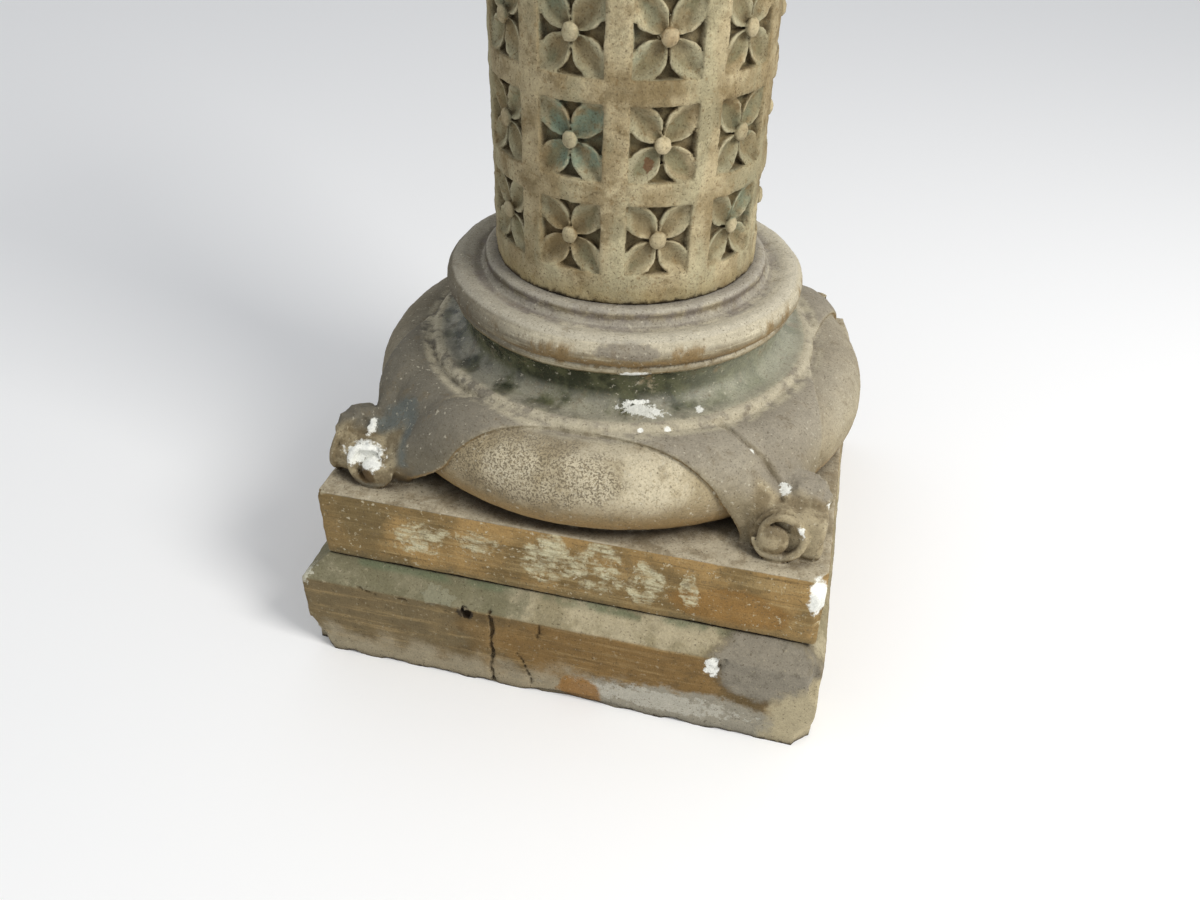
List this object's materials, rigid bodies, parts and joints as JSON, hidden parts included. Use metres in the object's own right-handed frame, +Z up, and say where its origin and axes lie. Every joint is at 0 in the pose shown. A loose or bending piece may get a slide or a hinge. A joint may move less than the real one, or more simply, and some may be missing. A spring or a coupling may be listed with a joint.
{
  "type": "stucco column base with shaft",
  "caption": "Round shaft with sunk square coffers of four-petalled flowers, on a moulded base with leaves and corner scrolls and a square plinth",
  "frame": {"origin": "on the ground, under the middle of the plinth", "axes": "+Z up along the column; the pictured front faces -Y; +X to the right seen from the front"},
  "size_m": [0.457, 0.466, 0.9471],
  "materials": {
    "plinth": "matte ochre-painted stucco with brush streaks and grey mortar",
    "base": "dusty cream stucco with a worn green glaze",
    "shaft": "matte cream stucco with traces of green"
  },
  "bodies": {
    "root": {"plinth": "plinth", "base": "base", "shaft": "shaft"}
  },
  "joints": []
}
